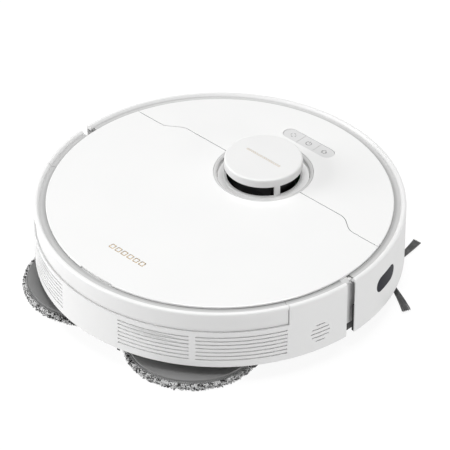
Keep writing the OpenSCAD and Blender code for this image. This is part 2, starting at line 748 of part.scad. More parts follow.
module caster_wheel() color("#8a8b8d") {
    rod_x(-caster_w / 2 - 5.6, caster_w / 2 + 5.6, caster_wheel_y, caster_d / 2, 2);
    translate([0, caster_wheel_y, caster_d / 2]) rotate([0, 90, 0]) rotate_extrude() polygon(concat(
        [[0, -caster_w / 2]], arc(caster_d / 2 - 2.5, -caster_w / 2 + 2.5, 2.5, -90, 0, 4),
        arc(caster_d / 2 - 2.5, caster_w / 2 - 2.5, 2.5, 0, 90, 4), [[0, caster_w / 2]]));
}

// ---------- main brush ----------

module brush_housing() color("#3a3b3d") difference() {
    block([-chamber_x, chamber_y0, pan_top], [chamber_x, chamber_y1, chamber_top]);
    block([-chamber_x + inner_t, chamber_y0 + inner_t, 0],
        [chamber_x - inner_t, chamber_y1 - inner_t, chamber_top - inner_t]);
    rod_x(-chamber_x - 1, chamber_x + 1, roller_y, roller_z, axle_r + fit);
    block([-intake_w / 2, chamber_y0 - 1, intake_z0], [intake_w / 2, chamber_y0 + inner_t + 1, intake_z1]);
}

module brush_guard() color("#55575a") difference() {
    block([-chamber_x - 2, chamber_y0 - 3, floor_gap - 2.2], [chamber_x + 2, chamber_y1 + 2, floor_gap]);
    block([-roller_l / 2 - 1, roller_y - roller_d / 2 - 0.5, 0],
        [roller_l / 2 + 1, roller_y + roller_d / 2 + 0.5, floor_gap + 1]);
}

module brush_core() color("#6b6c6e") rod_x(-chamber_x - 3, chamber_x - 0.5, roller_y, roller_z, axle_r);

// Rubber and bristle blades that wind around the core
core_r = 11.5;
module brush_blades() color("#2f3133") translate([-roller_l / 2, roller_y, roller_z]) rotate([0, 90, 0])
difference() {
    union() {
        cylinder(r = core_r, h = roller_l);
        for (m = [0, 1]) translate([0, 0, roller_l / 2]) mirror([0, 0, m])
            linear_extrude(roller_l / 2, twist = 110, slices = 12, $fn = 8) for (a = [0:60:300])
                rotate(a) translate([core_r - 0.5, -1.2]) square([roller_d / 2 - core_r + 0.5, 2.4]);
    }
    translate([0, 0, -1]) cylinder(r = axle_r, h = roller_l + 2);
}

brush_motor_z = chamber_top + 9.5;
module brush_gearbox() color("#2f3032") difference() {
    union() {
        block([-well_x0 + 0.3, roller_y - 14, pan_top], [-chamber_x, roller_y + 14, brush_motor_z + 9]);
        rod_x(-chamber_x, -chamber_x + 36, roller_y, brush_motor_z, 8.5);
    }
    rod_x(-chamber_x - 4, -chamber_x + 1, roller_y, roller_z, axle_r + fit);
}

// ---------- side brush ----------

side_motor = [104, 82];
side_gear_h = 12;
module side_brush_motor() color("#2f3032") difference() {
    union() {
        translate([side_x, side_y, roof_top]) cylinder(r = 9, h = side_gear_h);
        translate([side_motor[0], side_motor[1], pan_top]) cylinder(r = 14, h = 34);
        translate([side_x, side_y, roof_top])
            rotate([0, 0, atan2(side_motor[1] - side_y, side_motor[0] - side_x)])
            translate([0, -9, 0]) cube([norm([side_x, side_y] - side_motor), 18, side_gear_h]);
    }
    translate([side_x, side_y, 0]) cylinder(r = axle_r + fit, h = roof_top + 9);
}

// Three-armed side brush
module side_brush() color("#5c5a58") translate([side_x, side_y, 0]) {
    translate([0, 0, 1.6]) cylinder(r = 8.5, h = floor_gap - 0.4);
    translate([0, 0, floor_gap]) cylinder(r = axle_r, h = roof_top + 8.5 - floor_gap);
    for (a = [-24, 96, 216]) rotate([0, 0, a]) slab(2.2, 4.2)
        polygon([[7, -2.2], [side_r, -4.2], [side_r - 0.5, 4.2], [7, 2.2]]);
}

// ---------- mops ----------

sleeve_low = mop_roof + 6;
sleeve_l = 20;
sleeve_r = 11;
mop_shaft_r = 6;
shaft_top = sleeve_low + sleeve_l + 2;
mop_motor_top = tank_z - 2;
module mop_motors() color("#2f3032") both_sides() translate([mop_x, -mop_y, 0]) difference() {
    translate([0, 0, roof_top]) cylinder(r = 22, h = mop_motor_top - roof_top);
    translate([0, 0, mop_roof]) cylinder(r = sleeve_r + fit, h = shaft_top + mop_lift + 1 - mop_roof);
}
module mop_sleeve() color("#8a8b8d") translate([mop_x, -mop_y, sleeve_low]) difference() {
    cylinder(r = sleeve_r, h = sleeve_l);
    translate([0, 0, -1]) cylinder(r = mop_shaft_r + fit, h = sleeve_l + 2);
}
module mop_sleeve_right() mop_sleeve();
module mop_sleeve_left() mirror([1, 0, 0]) mop_sleeve();

plate_t = 2.4;
module mop_plate() color("#626467") translate([mop_x, -mop_y, pad_t]) {
    cylinder(r = mop_d / 2 - 6, h = plate_t, $fn = 180);
    cylinder(r = 7.8, h = plate_t + 3);
    cylinder(r = mop_shaft_r, h = shaft_top - pad_t);
}
module mop_plate_right() mop_plate();
module mop_plate_left() mirror([1, 0, 0]) mop_plate();

module mop_pad() color("#8f8f8e") translate([mop_x, -mop_y, 0])
    cylinder(r = mop_d / 2, h = pad_t, $fn = 180);
module mop_pad_right() mop_pad();
module mop_pad_left() mirror([1, 0, 0]) mop_pad();

// ---------- rear tank ----------

tank_t = 2;
tank_front = -tank_y - gap;
band_top = rim_z - 3.1;
module water_tank() color("#efefee") difference() {
    union() {
        intersection() {
            rim_wall(tank_z);
            translate([0, -gap / cos(tank_a), 0])
                wedge(180 + tank_a, 360 - tank_a, body_r + 20, 0, rim_z + 1);
        }
        intersection() {
            slab(tank_z, ledge_z) circle(body_r - wall / 2, $fn = 360);
            block([-body_r, -body_r, 0], [body_r, tank_front, rim_z + 2]);
        }
    }
    ring(body_r - band_in, body_r + 1, tank_z - 1, band_top);
    intersection() {
        slab(tank_z + tank_t, ledge_z - tank_t) circle(body_r - wall - tank_t, $fn = 360);
        block([-body_r, -body_r, 0], [body_r, tank_front - tank_t - 8, rim_z]);
    }
}

// ---------- inside ----------

battery_top = pan_top + 38;
module battery_pack() color("#2c5c86")
    block([-battery_x + 2, battery_y0, pan_top + 0.6], [battery_x - 2, battery_y1, battery_top]);
module battery_cover() color("#38393b")
    block([-battery_x, battery_y0 - 2, floor_gap], [battery_x, battery_y1 + 2, pan_top]);
board_z = battery_top + 1;
// Place, size and height of the chips on the main board
board_chips = [[30, 70, 14, 14, 2], [54, 74, 10, 18, 3], [-20, 66, 22, 8, 4], [-28, 88, 14, 12, 3]];
module main_board() color("#23603f") {
    block([-34, 64, board_z], [82, 106, board_z + 1.6]);
    for (p = board_chips) translate([p[0], p[1], board_z + 1.6]) cube([p[2], p[3], p[4]]);
}

// Suction fan beside the dust bin
fan_at = [bin_x1 + 24, -42];
fan_r = 20.5;
fan_h = 40;
fan_room = fan_r - inner_t;          // inside radius of its housing
duct_x0 = -14;
duct_x1 = 8;
module fan_housing() color("#2a2b2d") translate([fan_at[0], fan_at[1], roof_top]) difference() {
    union() {
        cylinder(r = fan_r, h = fan_h);
        block([duct_x0, -fan_r - 12, 0], [duct_x1, 0, 24]);
    }
    translate([0, 0, 6]) cylinder(r = fan_room, h = 20);
    translate([0, 0, 25]) cylinder(r = 9, h = fan_h);
    block([duct_x0 + inner_t, -fan_r - 13, 6], [duct_x1 - inner_t, -fan_r + 8, 22]);
}
module fan_impeller() color("#cfcfcf") translate([fan_at[0], fan_at[1], roof_top + 7]) {
    cylinder(r = fan_room - 1.5, h = 1.6);
    cylinder(r = 5, h = 16);
    for (a = [0:40:320]) rotate([0, 0, a]) block([4, -0.6, 1], [fan_room - 1.5, 0.6, 12]);
}

bin_low = roof_top + 0.5;
bin_top = panel_low - 2;
filter_y0 = -60;
filter_y1 = -24;
filter_z0 = 30;
filter_z1 = 58;
module dust_bin() color("#4d5056") difference() {
    block([bin_x0, bin_y0, bin_low], [bin_x1, bin_y1, bin_top - 3]);
    block([bin_x0 + inner_t, bin_y0 + inner_t, bin_low + inner_t],
        [bin_x1 - inner_t, bin_y1 - inner_t, rim_z]);
    block([-intake_w / 2, bin_y1 - inner_t - 1, intake_z0], [bin_x1 - inner_t - 3, bin_y1 + 1, intake_z1]);
    block([bin_x1 - inner_t - 1, filter_y0, filter_z0], [bin_x1 + 1, filter_y1, filter_z1]);
}
module bin_cover() color("#5a5d63") difference() {
    block([bin_x0, bin_y0, bin_top - 3], [bin_x1, bin_y1, bin_top]);
    block([bin_x0 + 20, bin_y0 + 24, bin_top - 1.6], [bin_x1 - 20, bin_y1 - 24, bin_top + 1]);
}
module dust_filter() color("#dcdcd6") {
    block([bin_x1 - 8, filter_y0, filter_z0], [bin_x1 - inner_t - 0.1, filter_y1, filter_z1]);
    for (y = [filter_y0 + 2:4:filter_y1 - 2])
        block([bin_x1 - 9.4, y, filter_z0 + 1], [bin_x1 - 8, y + 1.6, filter_z1 - 1]);
}
module intake_seal() color("#2a2a2a") difference() {
    block([-intake_w / 2 - 3, bin_y1 + 0.3, intake_z0 - 3],
        [intake_w / 2 + 3, chamber_y0, intake_z1 + 3]);
    block([-intake_w / 2, bin_y1 - 1, intake_z0], [intake_w / 2, chamber_y0 + 1, intake_z1]);
}

pump_top = mop_roof + 24;
module water_pump() color("#e3e3e0") {
    block([-14, -112, roof_top], [14, -88, pump_top]);
    translate([0, -100, pump_top]) cylinder(r = 6, h = tank_z - 0.6 - pump_top);
}

module speaker() color("#1d1d1f") rotate([0, 0, speaker_a])
    rod_x(frame_r - 8, body_r - wall - 1, 0, speaker_z, speaker_r);

module charge_contacts() color("#c8b37a") for (p = contact_at)
    slab(floor_gap - 0.3, floor_gap + 1) translate(p) square(contact_size, center = true);

module cliff_sensors() color("#15151a") for (p = cliff_at)
    slab(floor_gap + 0.3, floor_gap + 1.5) translate(p) pill(cliff_l, cliff_w);

module bottom_screws() color("#9a9a9a") for (p = screw_at) translate([p[0], p[1], 0]) difference() {
    union() {
        translate([0, 0, floor_gap + 0.4]) cylinder(r = screw_r, h = 1.6);
        translate([0, 0, floor_gap + 0.4]) cylinder(r = 1.4, h = 10);
    }
    translate([-0.4, -2, floor_gap]) cube([0.8, 4, 1.2]);
    translate([-2, -0.4, floor_gap]) cube([4, 0.8, 1.2]);
}

base_pan();
side_frame();
rear_shell();
top_deck();
front_cover();
turret_ring();
lidar_base();
lidar_belt();
button_board();
main_board();
battery_pack();
battery_cover();
wheel_wells();
brush_housing();
brush_guard();
brush_gearbox();
side_brush_motor();
fan_housing();
intake_seal();
dust_bin();
bin_cover();
dust_filter();
mop_motors();
water_pump();
speaker();
cliff_sensors();
charge_contacts();
bottom_screws();
lid_pins();
rear_lid();
lid_arms();
turret_cap();
lidar_head();
lidar_lenses();
lidar_pulley();
button_spot();
button_power();
button_dock();
bumper();
bumper_windows();
bumper_seals();
drive_arm_left();
drive_arm_right();
wheel_hub_left();
wheel_hub_right();
tyre_left();
tyre_right();
caster_fork();
caster_wheel();
brush_core();
brush_blades();
side_brush();
fan_impeller();
water_tank();
mop_sleeve_left();
mop_sleeve_right();
mop_plate_left();
mop_plate_right();
mop_pad_left();
mop_pad_right();
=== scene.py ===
"""A round robot vacuum and mop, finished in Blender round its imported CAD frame. Metres."""
import json
import math
import random

import bmesh
import bpy
from mathutils import Matrix, Vector


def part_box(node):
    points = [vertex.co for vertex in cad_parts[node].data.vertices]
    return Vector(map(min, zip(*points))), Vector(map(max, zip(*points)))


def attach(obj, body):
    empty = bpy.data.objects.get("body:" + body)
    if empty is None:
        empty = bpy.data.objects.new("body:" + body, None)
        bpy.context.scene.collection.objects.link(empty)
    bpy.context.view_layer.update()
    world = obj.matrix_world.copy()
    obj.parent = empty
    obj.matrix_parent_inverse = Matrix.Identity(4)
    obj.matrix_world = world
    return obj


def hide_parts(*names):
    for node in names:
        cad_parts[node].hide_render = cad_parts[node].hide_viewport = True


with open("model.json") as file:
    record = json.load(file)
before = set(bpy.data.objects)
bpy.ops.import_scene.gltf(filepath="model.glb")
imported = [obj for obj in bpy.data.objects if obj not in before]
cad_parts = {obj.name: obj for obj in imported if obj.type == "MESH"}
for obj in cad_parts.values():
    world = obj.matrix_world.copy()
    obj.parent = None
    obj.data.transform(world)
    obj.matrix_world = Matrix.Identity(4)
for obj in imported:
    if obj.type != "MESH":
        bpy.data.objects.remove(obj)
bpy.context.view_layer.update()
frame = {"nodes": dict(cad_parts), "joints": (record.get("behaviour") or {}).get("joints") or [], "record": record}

MM = 0.001
NODES = frame["nodes"]


# ---------------------------------------------------------------- camera

CAMERA_AZIMUTH = math.radians(43.9)
CAMERA_ELEVATION = math.radians(37.16)
CAMERA_DISTANCE = 3.0
CAMERA_LENS = 253.9
LOOK_AT = Vector((0, 0, 40 * MM))
LOOK_RIGHT = 4.86 * MM
LOOK_UP = 6.26 * MM


def make_camera():
    """The camera looks at the robot from behind on its right side, from above."""
    a, e = CAMERA_AZIMUTH, CAMERA_ELEVATION
    back = Vector((math.sin(a) * math.cos(e), -math.cos(a) * math.cos(e), math.sin(e)))
    right = Vector((math.cos(a), math.sin(a), 0))
    up = back.cross(right)
    data = bpy.data.cameras.new("camera")
    data.lens = CAMERA_LENS
    data.sensor_width = 36
    data.clip_end = 50
    camera = bpy.data.objects.new("camera", data)
    bpy.context.scene.collection.objects.link(camera)
    camera.location = LOOK_AT + right * LOOK_RIGHT + up * LOOK_UP + back * CAMERA_DISTANCE
    camera.rotation_euler = (-back).to_track_quat("-Z", "Y").to_euler()
    bpy.context.scene.camera = camera


# ---------------------------------------------------------------- shader writing

class Value:
    """A socket of a material, so that shader maths is written as plain expressions."""

    def __init__(self, finish, socket):
        self.finish = finish
        self.socket = socket

    def _math(self, operation, a, b):
        return self.finish.add("Math", {0: a, 1: b}, operation=operation)

    def __add__(self, other):
        return self._math("ADD", self, other)

    def __sub__(self, other):
        return self._math("SUBTRACT", self, other)

    def __rsub__(self, other):
        return self._math("SUBTRACT", other, self)

    def __mul__(self, other):
        return self._math("MULTIPLY", self, other)

    def __pow__(self, other):
        return self._math("POWER", self, other)

    __radd__ = __add__
    __rmul__ = __mul__


class Finish:
    """A material of this robot, written around one Principled shader."""

    def __init__(self, name):
        self.material = bpy.data.materials.new(name)
        self.material.use_nodes = True
        self.tree = self.material.node_tree
        self.tree.nodes.clear()
        self.output = self.tree.nodes.new("ShaderNodeOutputMaterial")
        self.shader = self.tree.nodes.new("ShaderNodeBsdfPrincipled")
        self.tree.links.new(self.shader.outputs[0], self.output.inputs[0])

    def add(self, kind, sockets=None, out=0, **settings):
        """A node: its type and settings first, then the values or links of its sockets."""
        node = self.tree.nodes.new("ShaderNode" + kind)
        for key, value in settings.items():
            setattr(node, key, value)
        for key, value in (sockets or {}).items():
            if isinstance(value, Value):
                self.tree.links.new(value.socket, node.inputs[key])
            else:
                node.inputs[key].default_value = value
        return Value(self, node.outputs[out])

    def set(self, **sockets):
        """Sets sockets of the shader, with spaces written as underscores."""
        for key, value in sockets.items():
            socket = self.shader.inputs[key.replace("_", " ")]
            if isinstance(value, Value):
                self.tree.links.new(value.socket, socket)
            else:
                socket.default_value = value

    def place(self):
        """Position on the piece itself, in metres, so that the finish moves with it."""
        return self.add("TexCoord", out="Object")

    def noise(self, size, detail=2.0, rough=0.5, where=None):
        """Soft noise from 0 to 1, whose lumps are about this many metres across."""
        return self.add("TexNoise", {"Vector": where or self.place(), "Scale": 1 / size,
                                     "Detail": detail, "Roughness": rough})

    def cells(self, size, where=None, feature="F1"):
        """Distance from the middle of irregular cells about this many metres across."""
        return self.add("TexVoronoi", {"Vector": where or self.place(), "Scale": 1 / size},
                        feature=feature)

    def stretch(self, x, y, z):
        """The place on the piece, stretched along the three axes."""
        return self.add("Mapping", {"Vector": self.place(), "Scale": (x, y, z)})

    def axis(self, letter, where=None):
        return self.add("SeparateXYZ", {0: where or self.place()}, out=letter)

    def ease(self, value, low, high, start=0.0, end=1.0):
        """A smooth step from start to end while value goes from low to high."""
        return self.add("MapRange", {"Value": value, "From Min": low, "From Max": high,
                                     "To Min": start, "To Max": end},
                        interpolation_type="SMOOTHSTEP")

    def mix(self, share, first, second):
        """A colour between two colours."""
        return self.add("Mix", {0: share, 6: colour(first), 7: colour(second)}, out=2,
                        data_type="RGBA")

    def bump(self, height, depth, strength=1.0):
        """A normal from a height map: depth is its full height in metres."""
        return self.add("Bump", {"Height": height, "Distance": depth, "Strength": strength})

    def edges(self, low=0.5, high=0.6):
        """1 on outer edges, 0 elsewhere."""
        return self.ease(self.add("NewGeometry", out="Pointiness"), low, high)


def colour(shade):
    """A four-part colour from a socket, a grey or three parts."""
    if isinstance(shade, Value):
        return shade
    if isinstance(shade, (int, float)):
        return (shade, shade, shade, 1)
    return (*shade, 1)


# ---------------------------------------------------------------- finishes

def gloss_white():
    """Injection-moulded white under a hard clear coat, with the faintest flow mottling."""
    f = Finish("gloss_white")
    flow = f.noise(60 * MM, 3)
    peel = f.noise(1.6 * MM, 2)
    specks = f.ease(f.noise(0.5 * MM, 1), 0.74, 0.8)
    f.set(Base_Color=f.mix(flow, (0.86, 0.862, 0.86), (0.885, 0.885, 0.88)),
          Roughness=0.3 + 0.05 * flow + 0.06 * specks,
          Coat_Weight=1.0, Coat_Roughness=0.04, IOR=1.46,
          Normal=f.bump(peel, 0.002 * MM))
    return f.material


def satin_white(name, low, high, roughness=0.42, ledge=None):
    """Spark-eroded white plastic: a fine even grain that breaks up the highlight.

    ledge holds four radii of the shell for painted shade on its ledge: darkest beside the panels, at the first,
    where shade falls in the groove, lighter from the second to the third, and white from the fourth outwards.
    """
    f = Finish(name)
    flow = f.noise(45 * MM, 3)
    grain = f.noise(0.35 * MM, 3, 0.6)
    shade = f.mix(flow, low, high)
    if ledge:
        # painted shade: the colour darkens by radius across the ledge, most in the groove beside the panels, and
        # is white again at the crest and under the panels
        x, y = f.axis("X"), f.axis("Y")
        radius = (x * x + y * y) ** 0.5
        ledge_painted_shade = (f.ease(radius, ledge[0], ledge[1], 0.5, 0.7)
                + f.ease(radius, ledge[2], ledge[3], 0, 0.3))
        covered = f.ease(radius, ledge[0] - 2 * MM, ledge[0] - MM, 1, 0)
        shade = f.mix(ledge_painted_shade + covered * (1 - ledge_painted_shade), 0.0, shade)
    f.set(Base_Color=shade,
          Roughness=roughness + 0.08 * (grain - 0.5),
          IOR=1.46,
          Normal=f.bump(grain, 0.012 * MM))
    return f.material


def moulded(name, low, high, roughness=0.5, grain_size=0.45 * MM, depth=0.03 * MM, worn=None):
    """Plain moulded plastic with an eroded grain, rubbed paler on its outer edges."""
    f = Finish(name)
    cloud = f.noise(30 * MM, 4)
    grain = f.noise(grain_size, 3, 0.65)
    scuffs = f.ease(f.noise(6 * MM, 5, 0.7), 0.52, 0.72)
    shade = f.mix(cloud, low, high)
    if worn:
        shade = f.mix(f.edges() * scuffs * 0.6, shade, worn)
    f.set(Base_Color=shade,
          Roughness=roughness + 0.12 * (grain - 0.5) - 0.08 * scuffs,
          IOR=1.47,
          Normal=f.bump(grain, depth))
    return f.material


def rubber(name, low, high, roughness=0.7):
    """Soft rubber: dull, slightly dusty in random patches, with a fine skin."""
    f = Finish(name)
    dust = f.ease(f.noise(9 * MM, 5, 0.7), 0.45, 0.75)
    skin = f.noise(0.3 * MM, 4, 0.7)
    f.set(Base_Color=f.mix(dust, low, high),
          Roughness=roughness + 0.15 * (skin - 0.5) + 0.08 * dust,
          Specular_IOR_Level=0.35,
          Sheen_Weight=0.15, Sheen_Roughness=0.6,
          Normal=f.bump(skin, 0.03 * MM))
    return f.material


def turned_metal(name, shade, roughness=0.28):
    """Bright metal with fine tool marks and a few darker spots."""
    f = Finish(name)
    marks = f.noise(0.2 * MM, 2, 0.6, where=f.stretch(0.15, 1, 1))
    spots = f.ease(f.noise(4 * MM, 4), 0.6, 0.75)
    dark = tuple(0.6 * part for part in shade)
    f.set(Base_Color=f.mix(spots * 0.4, shade, dark),
          Metallic=1.0,
          Roughness=roughness + 0.2 * (marks - 0.5) + 0.15 * spots,
          Normal=f.bump(marks, 0.006 * MM))
    return f.material


def dark_window():
    """Polished infrared window: almost black, with a blue-violet cast and faint swirls."""
    f = Finish("window_black")
    swirl = f.noise(12 * MM, 4)
    f.set(Base_Color=f.mix(swirl, (0.006, 0.006, 0.010), (0.014, 0.014, 0.024)),
          Roughness=0.3 + 0.08 * swirl, Specular_IOR_Level=0.05)
    return f.material


def lens_glass():
    f = Finish("lens_glass")
    ring = f.noise(3 * MM, 2)
    f.set(Base_Color=f.mix(ring, (0.02, 0.02, 0.06), (0.05, 0.02, 0.08)),
          Roughness=0.04 + 0.03 * ring, Coat_Weight=1.0, Coat_Roughness=0.01, IOR=1.6)
    return f.material


def circuit_board():
    """Green lacquer over a maze of traces."""
    f = Finish("circuit_board")
    trace_pitch = 9 * MM
    maze = f.add("TexBrick", {"Vector": f.place(), "Scale": 1 / trace_pitch, "Mortar Size": 0.06,
                              "Mortar Smooth": 0.2}, out="Fac")
    cells = f.cells(2.4 * MM)
    pads = f.ease(cells, 0.16, 0.2, 1.0, 0.0)
    lacquer = f.mix(maze, (0.02, 0.16, 0.07), (0.05, 0.3, 0.14))
    f.set(Base_Color=f.mix(pads, lacquer, (0.7, 0.62, 0.4)),
          Roughness=0.3 + 0.1 * maze, Coat_Weight=0.4, Coat_Roughness=0.15,
          Normal=f.bump(maze, 0.03 * MM))
    return f.material


def battery_wrap():
    """Blue shrink wrap, drawn tight over round cells."""
    f = Finish("battery_wrap")
    cell_pitch = 18.5 * MM
    cells = f.add("Math", {0: f.axis("X") * (math.pi / cell_pitch)}, operation="SINE")
    cells = f.add("Math", {0: cells}, operation="ABSOLUTE")
    creases = f.noise(3 * MM, 4, 0.7, where=f.stretch(0.3, 1, 1))
    f.set(Base_Color=f.mix(creases, (0.02, 0.1, 0.26), (0.05, 0.17, 0.36)),
          Roughness=0.28 + 0.12 * creases, Coat_Weight=0.3, Coat_Roughness=0.2,
          Normal=f.bump(cells + 0.3 * creases, 0.8 * MM))
    return f.material


def smoked_plastic():
    """Smoke-tinted clear plastic of the dust bin, dulled by fine scratches."""
    f = Finish("smoked_plastic")
    scratches = f.ease(f.noise(0.5 * MM, 3, 0.6, where=f.stretch(1, 0.08, 1)), 0.55, 0.75)
    haze = f.noise(20 * MM, 4)
    f.set(Base_Color=f.mix(haze, (0.09, 0.095, 0.105), (0.13, 0.135, 0.145)),
          Roughness=0.16 + 0.12 * scratches + 0.08 * haze,
          Coat_Weight=0.4, Coat_Roughness=0.1,
          Normal=f.bump(scratches, 0.01 * MM))
    return f.material


def filter_paper():
    """Off-white pleated paper with loose fibres."""
    f = Finish("filter_paper")
    fibres = f.noise(0.4 * MM, 5, 0.75, where=f.stretch(1, 1, 0.3))
    f.set(Base_Color=f.mix(fibres, (0.62, 0.61, 0.56), (0.8, 0.79, 0.75)),
          Roughness=0.92, Sheen_Weight=0.2, Normal=f.bump(fibres, 0.15 * MM))
    return f.material


def brushed_cloth(name, low, high):
    """Short-napped cloth: mottled shade, soft sheen."""
    f = Finish(name)
    tufts = f.noise(0.5 * MM, 4, 0.7)
    patches = f.noise(9 * MM, 3)
    f.set(Base_Color=f.mix(0.7 * tufts + 0.3 * patches, low, high),
          Roughness=0.9, Sheen_Weight=0.35, Sheen_Roughness=0.5,
          Specular_IOR_Level=0.2,
          Normal=f.bump(tufts, 0.35 * MM))
    return f.material


def twisted_yarn(name, low, high):
    """Yarn with the strands of its twist."""
    f = Finish(name)
    strand = f.noise(0.35 * MM, 3, 0.6)
    f.set(Base_Color=f.mix(strand, low, high), Roughness=0.85, Sheen_Weight=0.4,
          Specular_IOR_Level=0.2, Normal=f.bump(strand, 0.2 * MM))
    return f.material


def printed_grey():
    f = Finish("printed_grey")
    ink = f.noise(0.3 * MM, 3)
    f.set(Base_Color=f.mix(ink, 0.2, 0.27), Roughness=0.5 + 0.1 * ink)
    return f.material


def gold_foil():
    """Hot-stamped gold foil, slightly open in its grain."""
    f = Finish("gold_foil")
    grain = f.noise(0.25 * MM, 3, 0.6)
    f.set(Base_Color=f.mix(grain, (0.52, 0.36, 0.16), (0.72, 0.54, 0.3)), Metallic=0.7,
          Roughness=0.32 + 0.15 * grain, Normal=f.bump(grain, 0.01 * MM))
    return f.material


FINISHES = {
    "white_gloss": gloss_white(),
    "white_satin": satin_white("satin_white", (0.74, 0.74, 0.74), (0.78, 0.78, 0.775)),
    # rim_white carries painted shade on the ledge beside the panels, at these radii
    "rim_white": satin_white("rim_white", (0.78, 0.78, 0.78), (0.82, 0.82, 0.815),
                             ledge=(164.4 * MM, 167.4 * MM, 169.0 * MM, 170.8 * MM)),
    "ring_white": satin_white("ring_white", (0.56, 0.56, 0.56), (0.61, 0.61, 0.605)),
    "white_inner": satin_white("inner_white", (0.72, 0.72, 0.715), (0.78, 0.78, 0.77), 0.5),
    "button_white": satin_white("button_white", (0.64, 0.64, 0.64), (0.68, 0.68, 0.68), 0.38),
    "grey_frame": moulded("frame_grey", 0.62, 0.7, 0.5),
    "base_black": moulded("base_black", 0.016, 0.026, 0.5, 0.7 * MM, 0.05 * MM, worn=0.1),
    "dark_plastic": moulded("dark_plastic", 0.04, 0.06, 0.45, worn=0.16),
    "gear_black": moulded("gear_black", 0.02, 0.032, 0.4, worn=0.1),
    "plate_grey": moulded("plate_grey", 0.24, 0.28, 0.45, worn=0.25),
    "guard_grey": moulded("guard_grey", 0.1, 0.13, 0.38, worn=0.25),
    "hub_grey": moulded("hub_grey", 0.13, 0.17, 0.45, worn=0.3),
    "tyre_rubber": rubber("tyre_rubber", 0.018, 0.04, 0.78),
    "caster_nylon": moulded("caster_nylon", 0.26, 0.32, 0.35, 0.8 * MM, 0.01 * MM),
    "seal_rubber": rubber("seal_rubber", 0.006, 0.012, 0.65),
    "blade_rubber": rubber("blade_rubber", 0.03, 0.06, 0.6),
    "sweep_arm": rubber("sweep_rubber", 0.07, 0.1, 0.55),
    "steel": turned_metal("steel", (0.62, 0.62, 0.61)),
    "contact_metal": turned_metal("contact_plate", (0.85, 0.77, 0.58), 0.22),
    "dark_window": dark_window(),
    "lens_glass": lens_glass(),
    "lidar_black": moulded("lidar_black", 0.012, 0.018, 0.35),
    "board_green": circuit_board(),
    "battery_wrap": battery_wrap(),
    "bin_smoke": smoked_plastic(),
    "filter_paper": filter_paper(),
    "pump_white": moulded("pump_white", 0.62, 0.7, 0.4),
    "mop_fabric": brushed_cloth("mop_cloth", 0.2, 0.3),
}


# the shell, bumper and tank take rim_white, with its painted ledge shade
OWN_FINISH = {"rear_shell": "rim_white", "bumper": "rim_white", "water_tank": "rim_white",
              "turret_ring": "ring_white", "mop_plate_left": "plate_grey",
              "mop_plate_right": "plate_grey"}


def finish_nodes():
    """Gives every CAD node the finish of its slot, or its own."""
    for part in frame["record"]["subparts"]:
        mesh = NODES[part["node"]].data
        mesh.materials.clear()
        mesh.materials.append(FINISHES[OWN_FINISH.get(part["node"], part["material_slot"])])


# ---------------------------------------------------------------- pieces

def keep(mesh, name, body, slot, *materials):
    """Turns a finished bmesh into a piece that rides on a body."""
    data = bpy.data.meshes.new(name)
    mesh.to_mesh(data)
    mesh.free()
    for material in materials:
        data.materials.append(material)
    for face in data.polygons:
        face.use_smooth = True
    piece = bpy.data.objects.new(name, data)
    bpy.context.scene.collection.objects.link(piece)
    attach(piece, body)
    return piece


def middle(node):
    low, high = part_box(node)
    return (low + high) / 2


def tube(mesh, points, radius, sides=6, material=0, closed_ends=True):
    """A thin round tube through points, added to a bmesh."""
    rings = []
    for i, point in enumerate(points):
        before = points[max(i - 1, 0)]
        after = points[min(i + 1, len(points) - 1)]
        along = (after - before).normalized()
        side = along.orthogonal().normalized() if not rings else side_of(rings_axis, along)
        rings_axis = side
        cross = along.cross(side)
        rings.append([mesh.verts.new(point + radius * (math.cos(t) * side + math.sin(t) * cross))
                      for t in (2 * math.pi * k / sides for k in range(sides))])
    for ring, following in zip(rings, rings[1:]):
        for k in range(sides):
            face = mesh.faces.new((ring[k], ring[(k + 1) % sides],
                                   following[(k + 1) % sides], following[k]))
            face.material_index = material
    if closed_ends:
        mesh.faces.new(rings[0][::-1]).material_index = material
        mesh.faces.new(rings[-1]).material_index = material


def side_of(previous, along):
    """The direction across a tube that turns least from the one before."""
    side = previous - along * previous.dot(along)
    return side.normalized()


def turned(mesh, profile, centre, steps=96, material=0):
    """A round piece from a profile of (radius, height) about a vertical axis."""
    rings = []
    for radius, height in profile:
        if radius < 1e-6:
            rings.append([mesh.verts.new(centre + Vector((0, 0, height)))])
            continue
        rings.append([mesh.verts.new(centre + Vector((radius * math.cos(t), radius * math.sin(t), height)))
                      for t in (2 * math.pi * k / steps for k in range(steps))])
    for ring, following in zip(rings, rings[1:]):
        for k in range(steps):
            n = (k + 1) % steps
            corners = [ring[k % len(ring)], ring[n % len(ring)],
                       following[n % len(following)], following[k % len(following)]]
            unique = list(dict.fromkeys(corners))
            if len(unique) > 2:
                mesh.faces.new(unique).material_index = material
    return rings


YARN = 0.4 * MM
YARN_SHADES = (1, 2, 3)                      # pale, mid and dark, as the pad's materials run
CLOTH_FOOT = 3.4 * MM                        # underside of the cloth, above the floor
STITCHES = 230
STITCH_RADIUS = 0.42 * MM
FRINGE_YARNS = 420
FRINGE_ROWS = 7
FRINGE_WIDTH = 4.7 * MM
FRINGE_TOP = 5.9 * MM
FRINGE_ROW_DROP = 0.75 * MM
PILE_RINGS = 15
PILE_SPACING = 3.6 * MM
PILE_ROOT = 3.6 * MM
PILE_DEPTH = 3.0 * MM


def loop_of_yarn(mesh, root, outward, across, length, spread, curl, room, shade):
    """One curly loop of yarn: out from root, round, and back to a point beside it."""
    points = []
    steps = 7
    for i in range(steps + 1):
        t = i / steps
        reach = length * math.sin(math.pi * t)
        sideways = spread * math.cos(math.pi * t) + curl.x * math.sin(2 * math.pi * t)
        height = curl.y * math.sin(2 * math.pi * t) + curl.z * math.sin(math.pi * t) ** 2
        points.append(root + outward * reach + across * sideways
                      + Vector((0, 0, max(height, -room))))
    tube(mesh, points, YARN, 4, shade, closed_ends=False)


